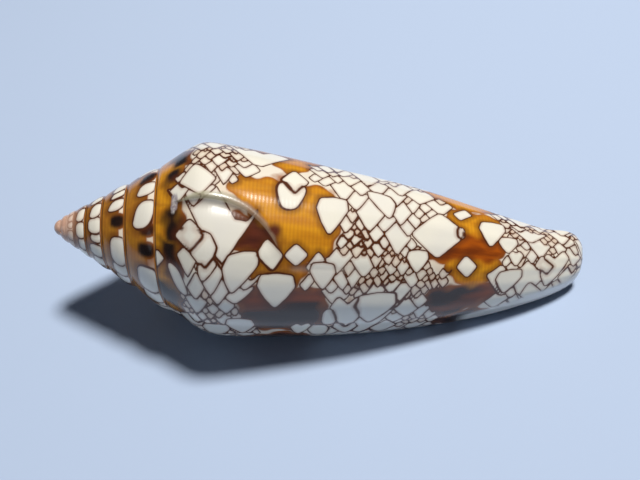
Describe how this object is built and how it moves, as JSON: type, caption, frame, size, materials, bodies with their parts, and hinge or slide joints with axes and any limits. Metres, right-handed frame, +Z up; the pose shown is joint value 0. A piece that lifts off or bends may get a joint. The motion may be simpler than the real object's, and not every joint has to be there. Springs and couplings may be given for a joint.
{
  "type": "cone shell",
  "caption": "slender tall-spired cone shell with a brown tent pattern on glossy cream, lying on its long slit aperture",
  "frame": {"origin": "centre of the bounding box's base, on the surface that the shell rests on", "axes": "+X from the apex toward the narrow anterior end, +Y away from the side with the lip, +Z up"},
  "size_m": [0.064, 0.0226, 0.0212],
  "materials": {
    "shell": "glossy natural shell, cream with fine brown tent lines, ochre and dark brown patches"
  },
  "bodies": {
    "root": {"shell": "shell"}
  },
  "joints": []
}
